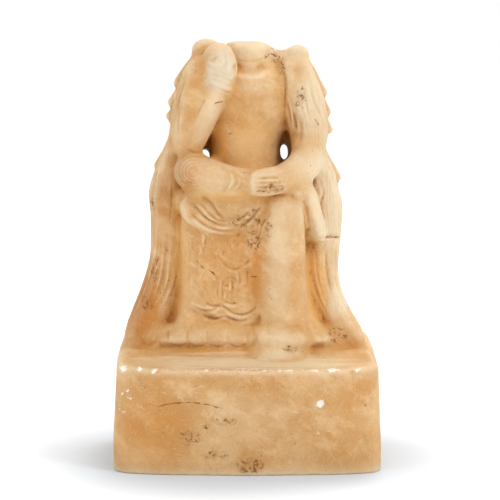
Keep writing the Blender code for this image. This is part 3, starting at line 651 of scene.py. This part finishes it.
# Tone, partly the stone's own and partly painted light and shade: above 0 paler where light falls, below 0
# more orange on shaded sides and in recesses.
TONE_AND_LIGHT_SPOTS = [((62, -22, 340), (20, 40, 44), 0.75), ((54, -38, 284), (26, 30, 18), 0.6),
              ((4, 4, 388), (28, 30, 14), 0.6), ((74, -20, 250), (22, 40, 60), 0.8),
              ((34, -62, 222), (15, 20, 44), 0.1), ((92, -18, 165), (14, 40, 30), 0.5),
              ((42, 0, 386), (18, 30, 14), 0.5), ((-104, -14, 150), (24, 44, 34), -1.1),
              ((-28, -20, 300), (12, 26, 22), -1.0), ((2, -30, 302), (28, 20, 22), 0.15),
              ((-58, -40, 274), (14, 30, 18), -0.8), ((-18, -46, 185), (40, 14, 44), -0.42),
              ((10, -48, 185), (8, 18, 40), -0.5), ((41, -12, 306), (9, 26, 16), -0.5),
              ((48, -30, 344), (12, 20, 20), 0.3), ((-96, -94, 38), (60, 40, 44), -0.5),
              ((96, -94, 60), (30, 30, 40), -0.2), ((0, -97, 98), (130, 12, 8), -0.2),
              ((0, -98, 55), (60, 14, 34), 0.25), ((-84, -22, 225), (14, 30, 40), -0.3),
              ((68, -44, 235), (12, 20, 26), 0.8), ((-44, 0, 392), (20, 24, 12), 0.1),
              ((0, -76, 105), (125, 24, 10), 0.65), ((-35, -60, 124), (46, 30, 12), 0.3),
              ((52, -50, 244), (14, 24, 26), 0.4), ((82, -18, 200), (20, 34, 60), 0.25),
              ((-36, -60, 264), (30, 24, 14), 0.2), ((34, -58, 120), (24, 24, 14), 0.4),
              ((84, -18, 150), (14, 30, 20), 0.5), ((-25, -50, 340), (14, 24, 20), 0.3),
              ((3, -24, 372), (20, 16, 9), 0.8), ((-10, -66, 277), (36, 20, 12), 0.1),
              ((-100, -30, 156), (18, 30, 30), -0.4), ((-46, -46, 277), (16, 20, 18), -0.3),
              ((4, -34, 302), (30, 16, 20), 0.2), ((8, -32, 360), (30, 16, 15), 0.35),
              ((29, -62, 185), (14, 24, 78), 0.4), ((-40, -42, 330), (13, 24, 30), 0.35),
              ((0, 0, 262), (90, 80, 30), 0.12)]
# Painted glow: a paler, warmer colour in shaded recesses, for light shining through the stone.
PAINTED_GLOW_SPOTS = [((-30, -22, 300), (16, 26, 30), 1.0), ((-2, -32, 298), (42, 24, 30), 0.5),
              ((3, -22, 374), (24, 18, 12), 0.25), ((64, -20, 165), (13, 30, 60), 0.9),
              ((-62, -24, 190), (10, 30, 70), 0.45), ((58, -30, 240), (10, 20, 24), 0.6),
              ((-20, -62, 256), (50, 14, 7), 0.5)]
# Painted shade: dark brown on the walls of the two openings and on shaded sides by the knee and the scarves.
PAINTED_SHADE_SPOTS = [((36.5, 6, 293), (11, 32, 20), 0.8), ((-42, 8, 289), (10, 30, 15), 0.2),
              ((-106, -14, 158), (28, 50, 46), 0.44), ((-60, -40, 276), (18, 24, 22), 0.42),
              ((-86, -14, 250), (16, 40, 30), 0.1), ((43, -26, 318), (10, 20, 24), 0.1)]


def spots(places):
    value = np.zeros(len(points))
    for centre, size, amount in places:
        value = np.maximum(value, amount * spot(centre, size))
    return value


# The painted glow, for the shader.
store("painted_glow", spots(PAINTED_GLOW_SPOTS))
# The painted dark shade, for the shader.
store("painted_shade", spots(PAINTED_SHADE_SPOTS))
x, z = points[:, 0], points[:, 2]
on_scarf = ease((np.abs(x) - 58.0) / 8.0) * ease((z - 118.0) / 14.0)
on_skirt = ease((10.0 - x) / 8.0) * ease((z - 146.0) / 10.0) * ease((236.0 - z) / 14.0)
store("cloth", np.maximum(on_scarf, 0.5 * on_skirt))
# The tone, partly painted light and shade, summed over its spots.
tone_and_light = np.zeros(len(points))
for centre, size, amount in TONE_AND_LIGHT_SPOTS:
    tone_and_light += amount * spot(centre, size)
store("dirt", spots([(centre, size, 1.0) for centre, size in DIRT_SPOTS]))
store("tone_and_light", np.clip(tone_and_light, -1, 1))

# %% [markdown]
# ## The marble
# The finish is one material. Its colour is built in layers: a mottled honey ground, painted orange shade in
# the hollows, painted pale highlights on the heights, a painted glow and painted dark shade in a few
# recesses, cream where the hand broke, white chips along the block's edges, dark pits in the dirty places,
# and hairline scratches. Some light passes into the stone, which a little subsurface scattering gives. The
# same layers also drive the bump, so that a pit is both dark and deep.

# %% Tools: shader nodes
def linear(red, green, blue):
    """A colour given as it looks on a screen, 0 to 255, as the shader wants it."""
    return tuple((v / 12.92 if v <= 0.04045 else ((v + 0.055) / 1.055) ** 2.4)
                 for v in (red / 255.0, green / 255.0, blue / 255.0)) + (1.0,)


marble = bpy.data.materials.new("marble")
marble.use_nodes = True
nodes = marble.node_tree.nodes
links = marble.node_tree.links
shader = nodes["Principled BSDF"]
place = nodes.new("ShaderNodeTexCoord").outputs["Object"]


def wire(socket, value):
    if isinstance(value, bpy.types.NodeSocket):
        links.new(value, socket)
    else:
        socket.default_value = value


def maths(operation, first, second=0.0, clamp=False):
    made = nodes.new("ShaderNodeMath")
    made.operation = operation
    made.use_clamp = clamp
    wire(made.inputs[0], first)
    wire(made.inputs[1], second)
    return made.outputs[0]


def span(value, low, high, new_low=0.0, new_high=1.0):
    """The value between low and high, smoothly made a value between new_low and new_high."""
    made = nodes.new("ShaderNodeMapRange")
    made.interpolation_type = "SMOOTHSTEP"
    wire(made.inputs["Value"], value)
    for name, number in (("From Min", low), ("From Max", high), ("To Min", new_low), ("To Max", new_high)):
        made.inputs[name].default_value = number
    return made.outputs["Result"]


def blend(share, under, over):
    made = nodes.new("ShaderNodeMix")
    made.data_type = "RGBA"
    wire(made.inputs[0], share)
    wire(made.inputs[6], under)
    wire(made.inputs[7], over)
    return made.outputs[2]


def noise(size, detail=4.0, roughness=0.55, turn=(0, 0, 0), stretch=(1, 1, 1)):
    """Noise whose lumps are about that size in metres; a stretch draws it out along an axis."""
    mapping = nodes.new("ShaderNodeMapping")
    mapping.vector_type = "TEXTURE"
    links.new(place, mapping.inputs["Vector"])
    mapping.inputs["Rotation"].default_value = [math.radians(a) for a in turn]
    mapping.inputs["Scale"].default_value = [size * s for s in stretch]
    made = nodes.new("ShaderNodeTexNoise")
    links.new(mapping.outputs["Vector"], made.inputs["Vector"])
    made.inputs["Scale"].default_value = 1.0
    made.inputs["Detail"].default_value = detail
    made.inputs["Roughness"].default_value = roughness
    return made.outputs["Fac"]


def stored(name):
    made = nodes.new("ShaderNodeAttribute")
    made.attribute_name = name
    return made.outputs["Fac"]


def vector_maths(operation, first, second):
    made = nodes.new("ShaderNodeVectorMath")
    made.operation = operation
    links.new(first, made.inputs[0])
    wire(made.inputs[1], second)
    return made


def rough_place(size, reach):
    """The place, pushed about by noise, so that what is drawn with it gets a ragged edge."""
    made = nodes.new("ShaderNodeTexNoise")
    links.new(place, made.inputs["Vector"])
    made.inputs["Scale"].default_value = 1.0 / size
    made.inputs["Detail"].default_value = 3.0
    shift = vector_maths("SUBTRACT", made.outputs["Color"], (0.5, 0.5, 0.5)).outputs["Vector"]
    scaled = vector_maths("MULTIPLY", shift, (reach, reach, reach)).outputs["Vector"]
    return vector_maths("ADD", place, scaled).outputs["Vector"]


def near(source, centre, size, lean=0.0, core=0.4):
    """1 at the centre, in units, and 0 outside an ellipsoid of that size, leaned in the front view."""
    mapping = nodes.new("ShaderNodeMapping")
    mapping.vector_type = "TEXTURE"
    links.new(source, mapping.inputs["Vector"])
    mapping.inputs["Location"].default_value = [v * UNIT for v in centre]
    mapping.inputs["Rotation"].default_value = (0.0, math.radians(-lean), 0.0)
    mapping.inputs["Scale"].default_value = [v * UNIT for v in size]
    length = nodes.new("ShaderNodeVectorMath")
    length.operation = "LENGTH"
    links.new(mapping.outputs["Vector"], length.inputs[0])
    return span(length.outputs["Value"], 1.0, core)


def most(values):
    """The largest of several values."""
    result = values[0]
    for value in values[1:]:
        result = maths("MAXIMUM", result, value)
    return result


axes = nodes.new("ShaderNodeSeparateXYZ")
links.new(place, axes.inputs[0])
print("the shader's tools are ready")

# %% Layer 1: the honey ground
HONEY = linear(209, 171, 120)
DEEP_HONEY = linear(194, 144, 82)
AMBER = linear(178, 120, 54)
DUST = linear(232, 204, 164)
MILK = linear(228, 196, 152)

clouds = noise(0.06, detail=5.0, roughness=0.6)
fine_clouds = noise(0.014, detail=6.0, roughness=0.65)
ground = blend(span(clouds, 0.35, 0.68), HONEY, DEEP_HONEY)
ground = blend(span(fine_clouds, 0.42, 0.75, 0.0, 0.4), ground, AMBER)
grains = noise(0.0028, detail=4.0, roughness=0.75)
ground = blend(span(grains, 0.35, 0.7, 0.0, 0.4), ground, DEEP_HONEY)
dust = noise(0.0014, detail=3.0, roughness=0.7)
ground = blend(span(dust, 0.5, 0.75, 0.0, 0.35), ground, DUST)
milky = noise(0.035, detail=5.0, roughness=0.7, turn=(20, 30, 0), stretch=(1, 1, 0.6))
ground = blend(span(milky, 0.46, 0.72, 0.0, 0.6), ground, MILK)
print("ground colours", [round(v, 3) for v in HONEY[:3]], [round(v, 3) for v in DEEP_HONEY[:3]])

# %% Layer 2: tone, painted light and shade in hollows and on heights, painted glow, tool lines and streaks
ORANGE = linear(199, 130, 40)
SHADE_UMBER = linear(140, 88, 40)
PALE = linear(223, 206, 175)
PAINTED_GLOW = linear(245, 196, 118)
SHADE_BROWN = linear(140, 78, 14)

# The tone, partly painted light and shade: more orange below 0 and paler above 0.
colour = blend(span(stored("tone_and_light"), 0.0, -1.0, 0.0, 0.8), ground, ORANGE)
colour = blend(span(stored("tone_and_light"), 0.0, 1.0, 0.0, 0.85), colour, PALE)
# Painted shade: orange in the broad hollows and brown in the fine creases.
hollow_shade = span(stored("broad_hollow"), 0.02, 0.6, 0.0, 0.8)
colour = blend(hollow_shade, colour, ORANGE)
crease_shade = span(stored("fine_hollow"), 0.06, 0.6, 0.0, 0.42)
colour = blend(crease_shade, colour, SHADE_UMBER)
# Painted highlight: paler on the fine heights, weaker low on the plinth and block, and on the broad heights.
height = span(stored("fine_hollow"), -0.03, -0.6, 0.0, 0.5)
height = maths("MULTIPLY", height, span(axes.outputs["Z"], 122.0 * UNIT, 136.0 * UNIT, 0.3, 1.0))
colour = blend(height, colour, PALE)
crown_highlight = span(stored("broad_hollow"), -0.04, -0.5, 0.0, 0.4)
colour = blend(crown_highlight, colour, PALE)
# Painted glow of light in shaded recesses.
colour = blend(maths("MULTIPLY", stored("painted_glow"), 0.55), colour, PAINTED_GLOW)
# Painted dark shade on the openings' walls and on some shaded sides.
colour = blend(maths("MULTIPLY", stored("painted_shade"), 0.9), colour, SHADE_BROWN)
tooling = noise(0.0016, detail=2.0, stretch=(1, 1, 14))
cloth = stored("cloth")
colour = blend(maths("MULTIPLY", span(tooling, 0.5, 0.7, 0.0, 0.26), cloth), colour, AMBER)
streaks = noise(0.0035, detail=4.0, roughness=0.65, stretch=(14, 2, 1))
on_shelf = near(place, (0, -74, 104), (135, 36, 9), core=0.7)
colour = blend(maths("MULTIPLY", span(streaks, 0.42, 0.66, 0.0, 0.5), on_shelf), colour, PALE)

# %% Layer 3: the creamy break of the hand
CREAM = linear(216, 202, 178)

ragged = rough_place(0.012, 0.010)
hand = near(ragged, (-25, -46, 373), (19, 30, 28), lean=-14.0, core=0.5)
colour = blend(maths("MULTIPLY", hand, 0.8), colour, CREAM)
# Painted shade: more orange in the hollow of the palm.
hand_hollow = near(ragged, (-31, -42, 383), (7, 14, 3), lean=30.0)
colour = blend(maths("MULTIPLY", hand_hollow, 0.45), colour, ORANGE)

# %% Layer 4: chips and scratches
CHALK = linear(244, 240, 234)
CHIPS = [((-116, -82, 98), (5, 10, 3.2)), ((-100, -86, 99), (3, 8, 2.2)), ((-86, -90, 98), (4, 8, 2.4)),
         ((19, -97, 99.4), (3, 6, 1.4)), ((80, -92, 98.6), (9, 8, 1.8)), ((62, -94, 98.4), (6, 6, 1.2)),
         ((67.1, -94, 67.3), (4.4, 10, 4.0)), ((-121, -86, 66), (3.4, 8, 9)), ((-117, -88, 58), (6, 8, 2)),
         ((121.5, -86, 14), (2.6, 8, 5.0)), ((-45, -97, 98.6), (5, 6, 1.0)), ((66, -98, 40), (1.6, 8, 1.6)),
         ((102, -88, 98), (4, 8, 1.4)), ((124, -84, 45), (2, 8, 4)), ((-124, -84, 30), (2, 8, 5)),
         ((-119, -86, 74), (5, 8, 3.4)), ((-112, -88, 77), (3, 8, 1.8)), ((-122, -84, 60), (3, 8, 3)),
         ((-110, -88, 71), (2, 8, 1.4)), ((-70, 98, 80), (7, 8, 4)), ((40, 98, 99), (9, 8, 3)),
         ((122, 60, 97), (5, 9, 4)), ((-122, 20, 96), (6, 12, 3))]
chip_place = rough_place(0.003, 0.008)
chipped = most([near(chip_place, centre, size) for centre, size in CHIPS])
front_edge = near(place, (0, -94, 98.6), (125, 12, 1.6), core=0.3)
edge_patches = span(noise(0.007, detail=4.0, roughness=0.7), 0.52, 0.62)
chipped = maths("MAXIMUM", chipped, maths("MULTIPLY", maths("MULTIPLY", front_edge, edge_patches), 0.8))
colour = blend(maths("MULTIPLY", chipped, 0.9), colour, CHALK)

scratches = []
for angle, threshold in ((25, 0.68), (-35, 0.69), (70, 0.70), (-80, 0.70)):
    line = noise(0.0011, detail=1.0, turn=(0, angle, 0), stretch=(1, 1, 22))
    patch = noise(0.03, detail=1.0, turn=(0, angle + 40, 0))
    scratches.append(maths("MULTIPLY", span(line, threshold, threshold + 0.06), span(patch, 0.40, 0.54)))
first_pair = maths("ADD", scratches[0], scratches[1])
second_pair = maths("ADD", scratches[2], scratches[3])
scratched = maths("ADD", first_pair, second_pair, True)
white_scratch = near(place, (-20.3, -97, 77.5), (4.2, 20, 0.5), lean=66.0)
scratched = maths("MAXIMUM", maths("MULTIPLY", scratched, 0.5), white_scratch)
colour = blend(scratched, colour, PALE)

# %% Layer 5: pits, dirt and cracks
DIRT = linear(134, 80, 24)
CRACKS = [((-27, -50, 343), 6.0, 10), ((-15, -32, 313), 4.5, 22), ((-44, -46, 190.5), 7.5, -45),
          ((-32, -46, 182.5), 6.0, -35), ((-1, -58, 279), 5.0, -4), ((48, -32, 340.6), 4.0, -20),
          ((65, -32, 323.7), 5.5, -60), ((26, -8, 384), 7.0, -25), ((33, -10, 376), 6.0, -60),
          ((6, -48, 180), 5.0, 10), ((-18, -50, 178), 4.0, 25), ((36, -64, 113), 4.0, -10),
          ((-85, -26, 191), 7.0, 80), ((12, -72, 263), 5.0, 4), ((30, -72, 262), 5.0, 8),
          ((82, -24, 214), 6.0, 4)]
crack_place = rough_place(0.004, 0.0035)
cracked = most([near(crack_place, centre, (reach, 24, 0.75), lean, 0.5) for centre, reach, lean in CRACKS])
arc = near(crack_place, (-55, -95, -28.0), (97.2, 1000, 97.2), core=0.992)
arc_inside = near(crack_place, (-55, -95, -28.0), (96.2, 1000, 96.2), core=0.992)
arc_reach = near(place, (-52, -96, 66), (36, 30, 14), core=0.7)
arc = maths("MULTIPLY", maths("SUBTRACT", arc, arc_inside, True), arc_reach)
broken = span(noise(0.006, detail=3.0), 0.42, 0.54)
cracked = maths("MULTIPLY", maths("MAXIMUM", cracked, arc), maths("ADD", broken, 0.15, True))

specks = noise(0.0034, detail=5.0, roughness=0.8)
pits = maths("MULTIPLY", span(specks, 0.54, 0.575), span(stored("dirt"), 0.15, 0.75))
in_folds = maths("MULTIPLY", span(stored("fine_hollow"), 0.3, 0.6, 0.0, 0.6), span(specks, 0.53, 0.57))
pits = maths("MAXIMUM", pits, in_folds)
stray = noise(0.0026, detail=1.0)
stray_patch = noise(0.05, detail=2.0)
stray_pits = maths("MULTIPLY", span(stray, 0.74, 0.78), span(stray_patch, 0.55, 0.65))
pits = maths("ADD", pits, stray_pits, True)
pits = maths("MAXIMUM", pits, cracked)
colour = blend(maths("MULTIPLY", pits, 0.94), colour, DIRT)
stain = maths("MULTIPLY", span(stored("dirt"), 0.2, 1.0), span(fine_clouds, 0.4, 0.6, 0.0, 0.3))
colour = blend(stain, colour, AMBER)
links.new(colour, shader.inputs["Base Color"])
print("chips, scratches, pits and cracks are laid over the ground")

# %% Finish: gloss, depth of light and bump
shader.inputs["Roughness"].default_value = 0.6
shader.inputs["Specular IOR Level"].default_value = 0.3
shader.inputs["Subsurface Weight"].default_value = 0.4
shader.inputs["Subsurface Radius"].default_value = (1.0, 0.5, 0.22)
shader.inputs["Subsurface Scale"].default_value = 0.004

grainy = noise(0.0018, detail=4.0, roughness=0.65)
lumpy = noise(0.008, detail=4.0, roughness=0.55)
relief = maths("ADD", maths("MULTIPLY", grainy, 0.6), maths("MULTIPLY", lumpy, 0.9))
relief = maths("ADD", relief, maths("MULTIPLY", maths("MULTIPLY", tooling, cloth), -0.6))
relief = maths("SUBTRACT", relief, maths("MULTIPLY", pits, 0.35))
relief = maths("SUBTRACT", relief, maths("MULTIPLY", scratched, 0.4))
bump = nodes.new("ShaderNodeBump")
bump.inputs["Strength"].default_value = 0.9
bump.inputs["Distance"].default_value = 0.0014
links.new(relief, bump.inputs["Height"])
links.new(bump.outputs["Normal"], shader.inputs["Normal"])

figure.data.materials.clear()
figure.data.materials.append(marble)
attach(figure, "root")
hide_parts("bodhisattva_torso")
print("the marble has", len(nodes), "nodes")

# %% [markdown]
# ## The studio
# The photograph is a catalogue picture on white: a pale floor that runs into a white ground, soft light from
# all sides, and a broad lamp above the viewer's right that models the folds. A weak lamp at the left opens
# the shadows, and one from above and behind lights the shoulders. The floor is a little darker near the
# block, where the photograph keeps a soft shadow.

# %% Lay the floor
FLOOR_WIDTH = 24.0
SHADE_START = 0.12
SHADE_END = 0.28
SHADED_PAPER = (0.62, 0.67, 0.72, 1.0)
WHITE_PAPER = (0.97, 0.97, 0.97, 1.0)

floor_bm = bmesh.new()
bmesh.ops.create_grid(floor_bm, x_segments=1, y_segments=1, size=FLOOR_WIDTH / 2.0)
floor_mesh = bpy.data.meshes.new("floor")
floor_bm.to_mesh(floor_mesh)
floor_bm.free()
floor = bpy.data.objects.new("floor", floor_mesh)
bpy.context.scene.collection.objects.link(floor)
paper = bpy.data.materials.new("paper")
paper.use_nodes = True
paper_nodes = paper.node_tree.nodes
paper_links = paper.node_tree.links
paper_nodes["Principled BSDF"].inputs["Roughness"].default_value = 0.9
from_middle = paper_nodes.new("ShaderNodeVectorMath")
from_middle.operation = "LENGTH"
paper_links.new(paper_nodes.new("ShaderNodeTexCoord").outputs["Object"], from_middle.inputs[0])
whiter = paper_nodes.new("ShaderNodeMapRange")
whiter.interpolation_type = "SMOOTHSTEP"
whiter.inputs["From Min"].default_value = SHADE_START
whiter.inputs["From Max"].default_value = SHADE_END
paper_links.new(from_middle.outputs["Value"], whiter.inputs["Value"])
shades = paper_nodes.new("ShaderNodeMix")
shades.data_type = "RGBA"
paper_links.new(whiter.outputs["Result"], shades.inputs[0])
shades.inputs[6].default_value = SHADED_PAPER
shades.inputs[7].default_value = WHITE_PAPER
paper_links.new(shades.outputs[2], paper_nodes["Principled BSDF"].inputs["Base Color"])
floor.data.materials.append(paper)
print("the floor is", FLOOR_WIDTH, "m wide")

# %% Set the lights
WORLD_LIGHT = 1.05
AIM = Vector((0, 0, 0.2))

world = bpy.data.worlds.new("studio")
world.use_nodes = True
world.node_tree.nodes["Background"].inputs["Color"].default_value = (1.0, 1.0, 1.0, 1.0)
world.node_tree.nodes["Background"].inputs["Strength"].default_value = WORLD_LIGHT
bpy.context.scene.world = world
bpy.context.scene.view_settings.view_transform = "Standard"


def lamp(name, location, watts, size):
    data = bpy.data.lights.new(name, "AREA")
    data.energy = watts
    data.size = size
    made = bpy.data.objects.new(name, data)
    made.location = location
    made.rotation_euler = (AIM - Vector(location)).to_track_quat("-Z", "Y").to_euler()
    bpy.context.scene.collection.objects.link(made)


lamp("key", (1.5, -1.4, 1.8), 16.0, 0.7)
lamp("fill", (-1.6, -1.9, 0.9), 3.0, 1.2)
lamp("top", (0.3, 0.9, 2.0), 12.0, 0.8)
print("three lamps and a white world")
